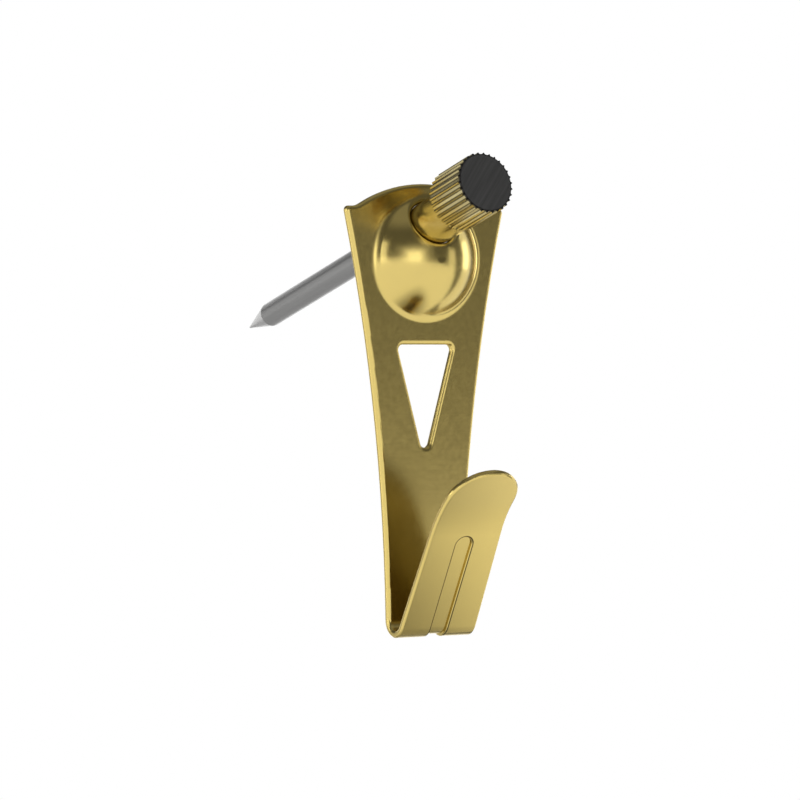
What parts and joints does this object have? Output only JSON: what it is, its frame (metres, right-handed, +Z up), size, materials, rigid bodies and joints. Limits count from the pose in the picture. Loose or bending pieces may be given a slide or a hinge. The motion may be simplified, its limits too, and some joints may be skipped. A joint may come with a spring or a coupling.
{
  "type": "picture hook",
  "caption": "Folded brass-plated sheet picture hook with a domed nail guide, a triangular cut-out and a flared lip, hung on a slanting steel nail with a knurled brass head.",
  "frame": {"origin": "where the nail's axis crosses the wall plane, on the plane of symmetry; the back of the plate lies on the wall plane Y = 0", "axes": "+X to the right seen from the front (the plane of symmetry is X = 0), +Y into the wall, +Z up as the hook hangs"},
  "size_m": [0.0148, 0.0389, 0.0381],
  "materials": {
    "brass_sheet": "bright brass plating on pressed sheet steel, lightly brushed",
    "nail_steel": "drawn steel wire, hardened, dark turned end face",
    "turned_brass": "turned and knurled brass"
  },
  "bodies": {
    "root": {"hook_plate": "brass_sheet", "nail": "nail_steel", "knurled_head": "turned_brass"}
  },
  "joints": []
}
